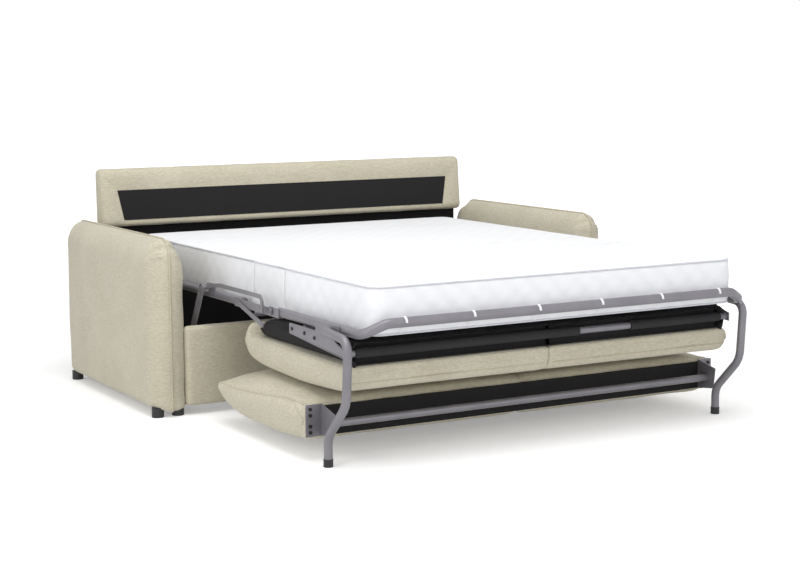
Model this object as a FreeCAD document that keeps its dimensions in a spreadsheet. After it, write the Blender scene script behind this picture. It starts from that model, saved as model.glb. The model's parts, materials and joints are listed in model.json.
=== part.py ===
import FreeCAD, Part
import Sketcher
import os
import re

from math import pi, sin, tan

Vector = FreeCAD.Vector

# Driving sizes in millimetres. Y runs from the open bed's foot (negative) to the sofa's back,
# X is measured from the middle plane, and Z from the floor.
SIZES = {
    # sofa carcass
    "arm_depth": 950, "arm_thick": 129, "arm_top": 632, "foot_height": 35,
    "foot_radius": 22, "arm_corner": 78, "arm_inner_round": 42, "arm_outer_round": 56,
    "back_half_width": 836, "back_face": 886, "back_rear": 960, "back_top": 830, "back_bottom": 600,
    "back_lean": 22, "back_round": 26,
    "lining_bottom": 620, "lining_top": 745, "lining_half_bottom": 741, "lining_half_top": 763,
    "lining_thick": 3, "lining_edge": 6,
    "rear_panel_thick": 15, "front_rail_thick": 40, "front_rail_top": 320,
    "side_rail_width": 45, "side_rail_height": 65,
    # lift linkage
    "plate_front": 70, "plate_rear": 560, "plate_top": 222, "plate_thick": 6, "plate_bottom": 50,
    "lift_pivot_y": 150, "lift_pivot_z": 195, "lift_spacing": 340,
    "link_back": 150, "link_rise": 260, "link_width": 34, "link_thick": 6, "link_inner": 785, "link_clear": 3,
    "pin_radius": 6, "pin_clear": 0.4,
    # bed frame
    "tube_radius": 15.5, "tube_centre": 735.5, "tube_level": 431, "tube_wall": 2,
    "head_rear": 480, "head_front": -246,
    "mid_pivot_y": -262, "foot_pivot_y": -502, "pivot_level": 432, "hinge_gap": 18,
    "lug_thick": 5, "lug_lap": 20, "weld_depth": 1, "pin_reach": 2, "lug_width": 34,
    "mid_bar_inner": 757, "mid_bar_thick": 4, "mid_bar_width": 26,
    "mid_tube_radius": 10, "mid_tube_y": -382, "rivet_radius": 5,
    "twin_inner": 762.5, "twin_thick": 3.5, "twin_end_y": -452, "twin_end_z": 381, "twin_width": 17,
    "foot_tube_front": -1060, "foot_bar_y": -1126, "foot_bar_level": 465, "foot_bar_half": 667, "foot_bend": 45,
    "slat_width": 26, "slat_thick": 3, "slat_count": 4,
    "channel_front": -960, "channel_rear": -631, "channel_top": 411, "channel_depth": 34,
    "channel_inner": 748, "channel_wall": 4,
    "stay_pivot_y": -25, "stay_pivot_z": 466, "stay_inner": 770, "stay_thick": 6, "stay_width": 14,
    "stay_bend_y": -130, "stay_level": 478, "stay_end_y": -472, "stay_end_z": 423,
    "stay_bend": 22, "hook_thick": 2.5, "hook_width": 7, "hook_count": 6, "hook_drop": 34, "hook_inset": 60,
    # seat unit
    "tray_front": -1000, "tray_rear": -330, "tray_top": 390, "tray_bottom": 325, "tray_half": 716,
    "tray_tube_y": -1006, "tray_tube_z": 362, "tray_tube_radius": 12, "sleeve_radius": 16,
    "sleeve_gap_near": 120, "sleeve_gap_far": 330,
    "seat_near": -278, "seat_far": -1018, "seat_bottom": 226, "seat_half": 748,
    "seat_split": 2, "seat_crown": 26, "seat_round": 34, "seat_draw": 10, "lip_rise": 44, "lip_depth": 48,
    # back rest and legs
    "turn_y": -851, "turn_z": 424, "leg_inner": 757, "leg_radius": 14, "turn_plate_thick": 4,
    "board_end": -857, "board_thick": 12, "board_bottom": 82, "board_top": 176, "board_half": 756,
    "cushion_half": 814, "cushion_draw": 16, "cushion_crown": 10,
    "cushion_tip": -172, "cushion_tip_z": 146, "cushion_low": 48,
    "cushion_high": 217, "cushion_end_low": 72, "cushion_end_high": 176,
    "cushion_nose": 90, "nose_rise": 34, "nose_set": 22,
    "leg_foot_y": -934, "leg_shin_z": 92, "leg_knee_y": -1058, "leg_knee_z": 214, "leg_top_y": -1072,
    "leg_top_z": 412, "leg_end_y": -926, "leg_end_z": 424, "leg_bend_low": 70, "leg_bend_knee": 90,
    "leg_bend_top": 40, "leg_foot_wall": 1.5, "leg_foot_height": 25,
    "leg_tube_y": -905, "leg_tube_z": 128, "leg_tube_radius": 12.5, "turn_plate_rise": 22, "turn_plate_lap": 52,
    "flange_outer": 810, "flange_bottom": 83, "flange_top": 185, "flange_thick": 4,
    "bolt_head_radius": 6, "bolt_head_height": 5, "bolt_edge": 14,
    "gusset_lap_top": 16, "gusset_lap_low": 6, "gusset_slope": 20,
    # mattress
    "mattress_half": 700, "mattress_bottom": 420, "mattress_top": 577, "mattress_foot": -1096,
    "mattress_head": 800, "mattress_corner": 58, "mattress_round": 22, "mattress_gap": 0.6, "rest_gap": 0.3,
}

doc = FreeCAD.newDocument("SofaBed")
sheet = doc.addObject("Spreadsheet::Sheet", "Sizes")
for row, (alias, value) in enumerate(SIZES.items(), start=1):
    sheet.set(f"A{row}", alias)
    sheet.set(f"B{row}", str(value))
    sheet.setAlias(f"B{row}", alias)
doc.recompute()

size = {alias: float(sheet.get(alias)) for alias in SIZES}
nodes = []
SIDES = (("left", -1), ("right", 1))
ALIAS = re.compile(r"[a-z]+(?:_[a-z]+)+")


def bound(words):
    """The same expression with each alias read from the sheet."""
    return ALIAS.sub(lambda found: "Sizes." + found.group(0), str(words))


def number(words):
    """The value of an expression in aliases, as a float."""
    value = sheet.evalExpression(bound(words))
    return float(getattr(value, "Value", value))


def bind(thing, prop, words):
    """Sets a property from the sheet and keeps it bound."""
    thing.setExpression(prop, bound(words))


def node(thing, label):
    """Names a finished sub-part."""
    thing.Label = label
    nodes.append(thing)
    return thing


def box(name, low, high):
    """A Part::Box between two corners, each given as three expressions."""
    thing = doc.addObject("Part::Box", name)
    for prop, first, last in zip(("Length", "Width", "Height"), low, high):
        bind(thing, prop, f"({last}) - ({first})")
    for axis, first in zip("xyz", low):
        bind(thing, f"Placement.Base.{axis}", first)
    return thing


def rod(name, start, length, radius, axis="x"):
    """A Part::Cylinder from a start point along X, Y or Z."""
    thing = doc.addObject("Part::Cylinder", name)
    turns = {"x": (Vector(0, 1, 0), 90), "y": (Vector(1, 0, 0), -90), "z": (Vector(0, 0, 1), 0)}
    thing.Placement.Rotation = FreeCAD.Rotation(*turns[axis])
    bind(thing, "Radius", radius)
    bind(thing, "Height", length)
    for letter, word in zip("xyz", start):
        bind(thing, f"Placement.Base.{letter}", word)
    return thing


def across(name, inner, thick, y, z, radius, sign):
    """A rod along X that starts at |X| = inner on one side."""
    start = inner if sign > 0 else f"0 - ({inner}) - ({thick})"
    return rod(name, (start, y, z), thick, radius)


def slab(name, inner, thick, y0, y1, z0, z1, sign):
    """A box whose |X| runs outwards from inner by thick on one side."""
    low = inner if sign > 0 else f"0 - ({inner}) - ({thick})"
    return box(name, (low, y0, z0), (f"({low}) + ({thick})", y1, z1))


def group(name, things):
    """Separate solids of one node."""
    thing = doc.addObject("Part::Compound", name)
    thing.Links = things
    return node(thing, name)


def fused(name, things):
    thing = doc.addObject("Part::MultiFuse", name)
    thing.Shapes = things
    return thing


def cut(name, base, tool):
    thing = doc.addObject("Part::Cut", name)
    thing.Base = base
    thing.Tool = tool
    return thing


def plate(name, outline, inner, thick, sign, hole=None):
    """A PartDesign body padded along X from a side profile; each corner is (y, z) in aliases.
    The hole, if any, is (y, z, radius)."""
    body = doc.addObject("PartDesign::Body", name)
    sketch = body.newObject("Sketcher::SketchObject", name + "_profile")
    plane = [item for item in body.Origin.OriginFeatures if item.Role == "YZ_Plane"][0]
    sketch.AttachmentSupport = [(plane, "")]
    sketch.MapMode = "FlatFace"
    low = inner if sign > 0 else f"0 - ({inner}) - ({thick})"
    bind(sketch, "AttachmentOffset.Base.z", low)
    corners = [Vector(number(y), number(z), 0) for y, z in outline]
    count = len(corners)
    for index in range(count):
        sketch.addGeometry(Part.LineSegment(corners[index], corners[(index + 1) % count]), False)
    for index in range(count):
        following = (index + 1) % count
        sketch.addConstraint(Sketcher.Constraint("Coincident", index, 2, following, 1))
    for index, (y, z) in enumerate(outline):
        for kind, word, value in (("DistanceX", y, corners[index].x), ("DistanceY", z, corners[index].y)):
            made = sketch.addConstraint(Sketcher.Constraint(kind, -1, 1, index, 1, value))
            sketch.setExpression(f"Constraints[{made}]", bound(word))
    if hole:
        y, z, radius = hole
        ring = Part.Circle(Vector(number(y), number(z), 0), Vector(0, 0, 1), number(radius))
        place = sketch.addGeometry(ring, False)
        for kind, word in (("DistanceX", y), ("DistanceY", z)):
            made = sketch.addConstraint(Sketcher.Constraint(kind, -1, 1, place, 3, number(word)))
            sketch.setExpression(f"Constraints[{made}]", bound(word))
        made = sketch.addConstraint(Sketcher.Constraint("Radius", place, number(radius)))
        sketch.setExpression(f"Constraints[{made}]", bound(radius))
    pad = body.newObject("PartDesign::Pad", name + "_pad")
    pad.Profile = sketch
    bind(pad, "Length", thick)
    doc.recompute()
    return body


def rounded(body, radius, wanted):
    """Fillets the edges of a body's tip that the test accepts."""
    tip = body.Tip
    names = [f"Edge{i}" for i, edge in enumerate(tip.Shape.Edges, start=1) if wanted(edge)]
    fillet = body.newObject("PartDesign::Fillet", body.Name + "_round" + str(len(body.Group)))
    fillet.Base = (tip, names)
    bind(fillet, "Radius", radius)
    doc.recompute()
    return body


def lies_along_x(edge):
    first, last = edge.Vertexes[0].Point, edge.Vertexes[-1].Point
    return abs(first.y - last.y) < 0.01 and abs(first.z - last.z) < 0.01 and abs(first.x - last.x) > 1


def lies_on_side(edge, side_place):
    """True for an edge in the upright plane at |X| = side_place."""
    near, far = edge.BoundBox.XMin, edge.BoundBox.XMax
    return far - near < 0.01 and abs(abs(near) - number(side_place)) < 0.01


def feature(name, shape):
    thing = doc.addObject("Part::Feature", name)
    thing.Shape = shape
    return thing


def path_wire(points, bends):
    """Straight runs through the points, joined at each inner point by a tangent arc of its bend."""
    edges = []
    start = points[0]
    for before, corner, after, bend in zip(points, points[1:], points[2:], bends):
        inward = (before - corner).normalize()
        outward = (after - corner).normalize()
        half = inward.getAngle(outward) / 2
        reach = bend / tan(half)
        first = corner + inward * reach
        last = corner + outward * reach
        middle_way = (inward + outward).normalize()
        middle = corner + middle_way * (bend / sin(half) - bend)
        edges.append(Part.LineSegment(start, first).toShape())
        edges.append(Part.Arc(first, middle, last).toShape())
        start = last
    edges.append(Part.LineSegment(start, points[-1]).toShape())
    return Part.Wire(edges)


def swept(path, section):
    """A solid with the section carried along the path."""
    return path.makePipeShell([section], True, False)


def ring_section(centre, axis, radius):
    return Part.Wire([Part.Circle(centre, axis, radius).toShape()])


def closed(points):
    """A face inside straight edges through the points."""
    return Part.Face(Part.makePolygon(points + points[:1]))


def curve(*corners):
    """A wire of arcs and lines in one plane of X: pairs of (middle or None, end) after a start."""
    start = corners[0]
    here = start
    edges = []
    for middle, end in corners[1:]:
        if middle is None:
            edges.append(Part.LineSegment(here, end).toShape())
        else:
            edges.append(Part.Arc(here, middle, end).toShape())
        here = end
    return Part.Wire(edges)


# Sofa carcass: arms, back, rails, floor feet. The carcass closes round the lift links.
PLATE_INNER = "(link_inner + link_thick + link_clear)"
RAIL_INNER = f"({PLATE_INNER} + plate_thick)"
ARM_INNER = f"({RAIL_INNER} + side_rail_width)"
ARM_OUTER = f"({ARM_INNER} + arm_thick)"
arms = []
for side, sign in SIDES:
    arm = plate(f"arm_{side}", [("0 * arm_depth", "foot_height"), ("arm_depth", "foot_height"),
                                ("arm_depth", "arm_top"), ("0 * arm_depth", "arm_top")],
                ARM_INNER, "arm_thick", sign)
    rounded(arm, "arm_corner", lambda edge: lies_along_x(edge) and edge.BoundBox.ZMin > size["arm_top"] - 1)
    for face, radius in ((ARM_INNER, "arm_inner_round"), (ARM_OUTER, "arm_outer_round")):
        rounded(arm, radius, lambda edge, face=face: lies_on_side(edge, face)
                and edge.BoundBox.ZMax > size["foot_height"] + 1)
    arms.append(arm)
group("arms", arms)

back = plate("outer_back",
             [("back_face", "back_bottom"), ("back_rear", "back_bottom"), ("back_rear", "back_top"),
              ("back_face + back_lean", "back_top"),
              ("back_face", "lining_bottom")],
             "0 - back_half_width", "2 * back_half_width", 1)
rounded(back, "back_round",
        lambda edge: lies_along_x(edge) and edge.BoundBox.ZMin > size["back_top"] - 1
        and edge.BoundBox.YMin > size["back_rear"] - 1)
node(back, "outer_back")

lean = size["back_lean"] / (size["back_top"] - size["lining_bottom"])


def on_back(x, z):
    """A point of the back's leaning front face."""
    return Vector(x, size["back_face"] + lean * (z - size["lining_bottom"]), z)


lining_low, lining_high = size["lining_bottom"] + size["lining_edge"], size["lining_top"]
low_half, high_half = size["lining_half_bottom"], size["lining_half_top"]
lining = closed([on_back(-low_half, lining_low), on_back(low_half, lining_low),
                 on_back(high_half, lining_high), on_back(-high_half, lining_high)])
forward = Vector(0, -1, lean).normalize()
node(feature("back_lining", lining.extrude(forward * size["lining_thick"])), "back_lining")

node(box("rear_panel", ("0 - back_half_width", "back_rear - rear_panel_thick", "foot_height"),
         ("back_half_width", "back_rear", "back_bottom")), "rear_panel")
node(box("front_rail", ("0 - back_half_width", "0 * front_rail_thick", "foot_height"),
         ("back_half_width", "front_rail_thick", "front_rail_top")), "front_rail")
for side, sign in SIDES:
    rail = slab(f"side_rail_{side}", RAIL_INNER, "side_rail_width",
                "front_rail_thick", "back_rear - rear_panel_thick", "foot_height",
                "foot_height + side_rail_height", sign)
    node(rail, f"side_rail_{side}")

sofa_feet = []
for side, sign in SIDES:
    for place, along in (("front", "2 * foot_radius"), ("rear", "arm_depth - 2 * foot_radius")):
        for row, out in (("inner", f"{ARM_INNER} + 1.2 * foot_radius"),
                         ("outer", f"{ARM_OUTER} - 1.2 * foot_radius")):
            foot = rod(f"sofa_foot_{side}_{place}_{row}", (f"{sign} * ({out})", along, "0 * foot_height"),
                       "foot_height", "foot_radius", "z")
            sofa_feet.append(foot)
group("sofa_feet", sofa_feet)

# Lift linkage: side plates with pins, and two parallel pairs of links
LIFTS = (("front", "lift_pivot_y"), ("rear", "lift_pivot_y + lift_spacing"))
for side, sign in SIDES:
    side_plate = plate(f"side_plate_{side}",
                       [("plate_front", "plate_bottom"), ("plate_rear", "plate_bottom"),
                        ("plate_rear", "lift_pivot_z - link_width"), ("plate_rear - link_width", "plate_top"),
                        ("plate_front + link_width", "plate_top"), ("plate_front", "lift_pivot_z - link_width")],
                       PLATE_INNER, "plate_thick", sign)
    node(side_plate, f"side_plate_{side}")

pins = []
for side, sign in SIDES:
    for place, along in LIFTS:
        pins.append(across(f"lift_pin_{side}_{place}", "link_inner - pin_reach",
                           "link_thick + link_clear + pin_reach", along, "lift_pivot_z", "pin_radius", sign))
group("lift_pins", pins)


def flat_link(name, ends, width, inner, thick, sign, holes):
    """A flat bar with round ends about two points, and clearance holes of given radii."""
    (y0, z0), (y1, z1) = ((number(y), number(z)) for y, z in ends)
    half = number(width) / 2
    x0 = number(inner) if sign > 0 else -number(inner) - number(thick)
    start, end = Vector(x0, y0, z0), Vector(x0, y1, z1)
    run = (end - start).normalize()
    side_way = Vector(0, -run.z, run.y) * half
    outline = curve(start + side_way, (start - run * half, start - side_way), (None, end - side_way),
                    (end + run * half, end + side_way), (None, start + side_way))
    solid = Part.Face(outline).extrude(Vector(number(thick), 0, 0))
    for centre, radius in zip((start, end), holes):
        if radius:
            bore = Part.makeCylinder(radius, number(thick) + 2, centre - Vector(1, 0, 0), Vector(1, 0, 0))
            solid = solid.cut(bore)
    return feature(name, solid)


link_hole = size["pin_radius"] + size["pin_clear"]
for place, along in LIFTS:
    links = []
    for side, sign in SIDES:
        ends = ((along, "lift_pivot_z"), (f"{along} - link_back", "lift_pivot_z + link_rise"))
        links.append(flat_link(f"{place}_link_{side}", ends, "link_width", "link_inner", "link_thick", sign,
                               (link_hole, link_hole)))
    group(f"{place}_lift_links", links)

# Bed frame, head section: side tubes, slats and the lugs of its hinges
tube_radius = size["tube_radius"]
lug_inner = "tube_centre + tube_radius - weld_depth"


def hinge_lug(name, pivot, tube_end, sign):
    """A flat lug from a side tube's end to a hinge pivot."""
    first, last = (pivot, tube_end) if number(pivot) < number(tube_end) else (tube_end, pivot)
    return slab(name, lug_inner, "lug_thick", f"({first}) - lug_width / 2", f"({last}) + lug_width / 2",
                "tube_level - tube_radius", "tube_level + tube_radius", sign)


def slat_place(first, last, index):
    """Where a slat lies between the first and last."""
    return f"({first}) + (({last}) - ({first})) * {index} / {int(size['slat_count']) - 1}"


def slats(name, first, last):
    """Flat slats under the mattress, evenly spaced between two places."""
    made = []
    count = int(size["slat_count"])
    for index in range(count):
        along = slat_place(first, last, index)
        made.append(box(f"{name}_{index}", ("0 - tube_centre", f"{along} - slat_width / 2",
                                            "mattress_bottom - slat_thick - rest_gap"),
                        ("tube_centre", f"{along} + slat_width / 2", "mattress_bottom - rest_gap")))
    return made


head_things = slats("head_slat", "head_front + slat_width", "head_rear - slat_width")
for side, sign in SIDES:
    head_things.append(rod(f"head_tube_{side}", (f"{sign} * tube_centre", "head_front", "tube_level"),
                           "head_rear - head_front", "tube_radius", "y"))
    head_things.append(hinge_lug(f"head_lug_{side}", "mid_pivot_y", "head_front + lug_lap", sign))
    head_things.append(across(f"head_pin_{side}", lug_inner,
                              f"twin_inner + twin_thick + pin_reach - ({lug_inner})", "mid_pivot_y", "pivot_level", "rivet_radius", sign))
    for place, along in LIFTS:
        pivot_y = f"{along} - link_back"
        front_reach = "stay_width - stay_pivot_y" if place == "front" else "link_width / 2"
        head_things.append(slab(f"lift_lug_{side}_{place}", lug_inner, "lug_thick",
                                f"{pivot_y} - ({front_reach})", f"{pivot_y} + link_width / 2", "tube_level",
                                "lift_pivot_z + link_rise + link_width / 2", sign))
        head_things.append(across(f"head_lift_pin_{side}_{place}", lug_inner,
                                  f"link_inner + link_thick + pin_reach - ({lug_inner})", pivot_y,
                                  "lift_pivot_z + link_rise", "pin_radius", sign))
    head_things.append(across(f"stay_pin_{side}", lug_inner,
                              f"stay_inner + stay_thick + pin_reach - ({lug_inner})", "stay_pivot_y", "stay_pivot_z", "rivet_radius", sign))
node(fused("head_frame", head_things), "head_frame")

# Curved stay bars beside the head section
stay_bars = []
for side, sign in SIDES:
    x = size["stay_inner"] + size["stay_thick"] / 2
    places = [Vector(sign * x, size[y], size[z]) for y, z in (("stay_pivot_y", "stay_pivot_z"),
              ("stay_bend_y", "stay_level"), ("stay_end_y", "stay_level"), ("stay_end_y", "stay_end_z"))]
    stay_path = path_wire(places, (size["stay_bend"] * 3, size["stay_bend"]))
    way = (places[1] - places[0]).normalize()
    half_thick, half_width = size["stay_thick"] / 2, size["stay_width"] / 2
    up = Vector(0, -way.z, way.y) * half_width
    out = Vector(half_thick, 0, 0)
    section = Part.makePolygon([places[0] + up + out, places[0] - up + out, places[0] - up - out,
                                places[0] + up - out, places[0] + up + out])
    eye = Part.makeCylinder(size["stay_width"] * 0.75, size["stay_thick"], places[0] - out, Vector(1, 0, 0))
    hole = Part.makeCylinder(size["rivet_radius"] + size["pin_clear"], size["stay_thick"] + 2,
                             places[0] - out - Vector(1, 0, 0), Vector(1, 0, 0))
    stay_bars.append(feature(f"stay_bar_{side}", swept(stay_path, section).fuse(eye).cut(hole).removeSplitter()))
group("stay_bars", stay_bars)

# Mid section: flat side bars with hinge holes, twin links and a cross tube
rivet_hole = size["rivet_radius"] + size["pin_clear"]
mid_bars = []
twin_links = []
for side, sign in SIDES:
    mid_bars.append(flat_link(f"mid_bar_{side}", (("foot_pivot_y", "pivot_level"), ("mid_pivot_y", "pivot_level")),
                              "mid_bar_width", "mid_bar_inner", "mid_bar_thick", sign, (rivet_hole, rivet_hole)))
    twin_links.append(flat_link(f"twin_link_{side}", (("twin_end_y", "twin_end_z"), ("mid_pivot_y", "pivot_level")),
                                "twin_width", "twin_inner", "twin_thick", sign, (0, rivet_hole)))
    twin_links.append(across(f"twin_rivet_{side}", "mid_bar_inner + mid_bar_thick",
                             "twin_inner - mid_bar_inner - mid_bar_thick", "(twin_end_y + mid_pivot_y * 2) / 3",
                             "(twin_end_z + pivot_level * 2) / 3 + 2", "rivet_radius", sign))
group("mid_bars", mid_bars)
group("twin_links", twin_links)
node(rod("mid_cross_tube", ("0 - mid_bar_inner", "mid_tube_y", "mattress_bottom - mid_tube_radius - rest_gap"),
         "2 * mid_bar_inner", "mid_tube_radius"), "mid_cross_tube")

# Foot section: the bent tube that ends in the foot bar, slats, lugs and turn pins
tube_x, level = size["tube_centre"], size["tube_level"]
bar_y, bar_z, bar_x = size["foot_bar_y"], size["foot_bar_level"], size["foot_bar_half"]
turn_in = (bar_y - size["foot_tube_front"]) / 2
places = [Vector(-tube_x, size["foot_pivot_y"] - size["hinge_gap"], level),
          Vector(-tube_x, size["foot_tube_front"] + turn_in, level),
          Vector(-bar_x, bar_y, bar_z), Vector(bar_x, bar_y, bar_z),
          Vector(tube_x, size["foot_tube_front"] + turn_in, level),
          Vector(tube_x, size["foot_pivot_y"] - size["hinge_gap"], level)]
bar_path = path_wire(places, [size["foot_bend"]] * (len(places) - 2))
foot_tube = swept(bar_path, ring_section(places[0], Vector(0, 1, 0), tube_radius))
foot_things = [feature("foot_tube", foot_tube)]
FOOT_SLATS = ("foot_tube_front + slat_width", "foot_pivot_y - 3 * slat_width")
foot_things += slats("foot_slat", *FOOT_SLATS)
for side, sign in SIDES:
    foot_things.append(hinge_lug(f"foot_lug_{side}", "foot_pivot_y",
                                 "foot_pivot_y - hinge_gap - lug_lap", sign))
    foot_things.append(across(f"foot_pin_{side}", lug_inner,
                              f"mid_bar_inner + mid_bar_thick + pin_reach - ({lug_inner})",
                              "foot_pivot_y", "pivot_level", "rivet_radius", sign))
    foot_things.append(across(f"turn_pin_{side}", "tube_centre", "leg_inner - rest_gap - tube_centre", "turn_y", "turn_z",
                              "rivet_radius", sign))
node(fused("foot_frame", foot_things), "foot_frame")

hooks = []
spread = 2 * (size["foot_bar_half"] - size["hook_inset"])
hook_near = tube_radius + size["rest_gap"]
hook_far = hook_near + size["hook_thick"]
front, up, drop = Vector(0, -1, 0), Vector(0, 0, 1), Vector(0, 0, -size["hook_drop"])
for index in range(int(size["hook_count"])):
    x = -spread / 2 + spread * index / (int(size["hook_count"]) - 1)
    centre = Vector(x - size["hook_width"] / 2, bar_y, bar_z)
    outline = curve(centre + front * hook_far, (centre + up * hook_far, centre - front * hook_far),
                    (None, centre - front * hook_far + drop), (None, centre - front * hook_near + drop),
                    (None, centre - front * hook_near), (centre + up * hook_near, centre + front * hook_near),
                    (None, centre + front * hook_far))
    hooks.append(feature(f"mattress_hook_{index}", Part.Face(outline).extrude(Vector(size["hook_width"], 0, 0))))
group("mattress_hooks", hooks)

for side, sign in SIDES:
    channel = plate(f"channel_{side}",
                    [("channel_rear", "channel_top"), ("channel_rear", "channel_top - channel_depth"),
                     ("tray_tube_y - sleeve_radius", "tray_tube_z - sleeve_radius"),
                     ("tray_tube_y - sleeve_radius", "tray_tube_z + tray_tube_radius"),
                     ("channel_front", "tray_top"), ("channel_front + channel_depth", "channel_top")],
                    "channel_inner", "channel_wall", sign)
    node(channel, f"channel_{side}")

cross_radius = "(tube_level - tube_radius - rest_gap - tray_top) / 2"
cross_tubes = []
for index in (1, 2):
    cross_tubes.append(rod(f"foot_cross_{index}", ("0 - channel_inner", slat_place(*FOOT_SLATS, index),
                                                   f"tray_top + {cross_radius}"),
                           "2 * channel_inner", cross_radius))
group("foot_cross_tubes", cross_tubes)

# Seat unit: tray, sleeved tube and two crowned cushions with a raised lip
tray = box("tray_block", ("0 - tray_half", "tray_front", "tray_bottom"), ("tray_half", "tray_rear", "tray_top"))
tube_hole = rod("tray_tube_hole", ("0 - tray_half - 1", "tray_tube_y", "tray_tube_z"), "2 * tray_half + 2",
                "sleeve_radius")
node(cut("seat_tray", tray, tube_hole), "seat_tray")
node(rod("tray_tube", ("0 - channel_inner", "tray_tube_y", "tray_tube_z"), "2 * channel_inner",
         "tray_tube_radius"), "tray_tube")
sleeves = []
for index, (low, high) in enumerate((("0 - tray_half", "sleeve_gap_near"), ("sleeve_gap_far", "tray_half"))):
    outer = rod(f"sleeve_{index}", (low, "tray_tube_y", "tray_tube_z"), f"({high}) - ({low})", "sleeve_radius")
    bore = rod(f"sleeve_bore_{index}", (f"{low} - 1", "tray_tube_y", "tray_tube_z"), f"({high}) - ({low}) + 2",
               "tray_tube_radius")
    sleeves.append(cut(f"tube_sleeve_{index}", outer, bore))
group("tube_sleeves", sleeves)


def seat_ring(x, draw, crown):
    """Side outline of a seat cushion: drawn in all round by draw, its face bulged by crown."""
    far, near = size["seat_far"] + draw, size["seat_near"] - draw
    top = size["tray_bottom"] - size["rest_gap"]
    low = size["seat_bottom"] + size["seat_crown"] * 0.5 + draw * 0.6
    bend = size["seat_round"] - draw * 0.5
    corner = bend * (1 - sin(pi / 4))
    lip = size["lip_depth"] - draw
    peak = top + size["lip_rise"] - draw * 0.5
    round_lip = lip / 2
    corner_lip = round_lip * (1 - sin(pi / 4))
    at = lambda y, z: Vector(x, y, z)
    return curve(at(far, low + bend), (at(far + corner, low + corner), at(far + bend, low)),
                 (at((far + near) / 2, low - crown), at(near - bend, low)),
                 (at(near - corner, low + corner), at(near, low + bend)), (None, at(near, peak - round_lip)),
                 (at(near - corner_lip, peak - corner_lip), at(near - round_lip, peak)),
                 (at(near - lip + corner_lip, peak - corner_lip), at(near - lip, peak - round_lip)),
                 (None, at(near - lip, top)), (None, at(far, top)), (None, at(far, low + bend)))


def pillow(ring, inner, outer, sign, draw, crown):
    """A solid lofted through side outlines from the inner to the outer end of a cushion."""
    steps = ((0, 1, 0.2), (0.012, 0.45, 0.35), (0.04, 0.1, 0.6), (0.12, 0, 0.85), (0.3, 0, 1), (0.7, 0, 1),
             (0.88, 0, 0.85), (0.96, 0.1, 0.6), (0.988, 0.45, 0.35), (1, 1, 0.2))
    rings = [ring(sign * (inner + (outer - inner) * share), draw * pull, crown * swell)
             for share, pull, swell in steps]
    return Part.makeLoft(rings if sign > 0 else rings[::-1], True, True)


for side, sign in SIDES:
    seat = pillow(seat_ring, size["seat_split"] / 2, size["seat_half"], sign,
                  size["seat_draw"], size["seat_crown"] / 2)
    node(feature(f"seat_cushion_{side}", seat), f"seat_cushion_{side}")

# Legs: round tubes in an S, with turn plates, foot caps, flanges and a cross tube
LEG_LINE = (("leg_foot_y", "leg_foot_height"), ("leg_foot_y", "leg_shin_z"), ("leg_knee_y", "leg_knee_z"),
            ("leg_top_y", "leg_top_z"), ("leg_end_y", "leg_end_z"))
LEG_BENDS = [size[word] for word in ("leg_bend_low", "leg_bend_knee", "leg_bend_top")]
legs = []
leg_feet = []
for side, sign in SIDES:
    middle = sign * (size["leg_inner"] + size["leg_radius"])
    leg_points = [Vector(middle, size[y], size[z]) for y, z in LEG_LINE]
    section = ring_section(leg_points[0], Vector(0, 0, 1), size["leg_radius"])
    legs.append(feature(f"leg_{side}", swept(path_wire(leg_points, LEG_BENDS), section)))
    leg_feet.append(rod(f"leg_foot_{side}", (f"{sign} * (leg_inner + leg_radius)", "leg_foot_y", "0 * leg_foot_height"),
                        "leg_foot_height", "leg_radius + leg_foot_wall", "z"))
    turn_plate = plate(f"turn_plate_{side}",
                       [("turn_y + turn_plate_rise", "turn_z - turn_plate_rise"),
                        ("turn_y + turn_plate_rise", "turn_z + turn_plate_rise"),
                        ("leg_foot_y - turn_plate_lap", "turn_z + turn_plate_rise"),
                        ("leg_foot_y - turn_plate_lap", "turn_z - turn_plate_rise")],
                       "leg_inner - turn_plate_thick", "turn_plate_thick", sign,
                       ("turn_y", "turn_z", "rivet_radius + pin_clear"))
    node(turn_plate, f"turn_plate_{side}")
group("legs", legs)
group("leg_feet", leg_feet)

flanges = []
bolts = []
for side, sign in SIDES:
    flanges.append(slab(f"flange_plate_{side}", "leg_inner - flange_thick",
                        "flange_outer - leg_inner + flange_thick",
                        "board_end - flange_thick", "board_end", "flange_bottom", "flange_top", sign))
    gusset = plate(f"gusset_{side}",
                   [("board_end - flange_thick", "flange_bottom"), ("board_end - flange_thick", "flange_top"),
                    ("leg_foot_y - gusset_lap_top", "flange_top - gusset_slope"),
                    ("leg_foot_y - gusset_lap_low", "flange_bottom + gusset_slope / 2")],
                   "leg_inner - flange_thick", "flange_thick", sign)
    flanges.append(gusset)
    for rise in ("flange_bottom + bolt_edge", "flange_bottom + bolt_edge * 2.4", "flange_top - bolt_edge * 2.4",
                 "flange_top - bolt_edge"):
        head = doc.addObject("Part::Prism", f"flange_bolt_{side}_{len(bolts)}")
        head.Placement.Rotation = FreeCAD.Rotation(Vector(1, 0, 0), -90)
        bind(head, "Circumradius", "bolt_head_radius")
        bind(head, "Height", "bolt_head_height")
        bind(head, "Placement.Base.x", f"{sign} * (flange_outer - bolt_edge)")
        bind(head, "Placement.Base.y", "board_end - flange_thick - bolt_head_height")
        bind(head, "Placement.Base.z", rise)
        bolts.append(head)
node(fused("flanges", flanges), "flanges")
group("flange_bolts", bolts)
node(rod("leg_cross_tube", ("flange_thick - leg_inner", "leg_tube_y", "leg_tube_z"),
         "2 * leg_inner - 2 * flange_thick", "leg_tube_radius"),
     "leg_cross_tube")

# Back rest: a board across its end and two cushions that taper to a tip
node(box("back_board", ("0 - flange_outer", "board_end", "board_bottom"),
         ("flange_outer", "board_end + board_thick", "board_top")), "back_board")


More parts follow.
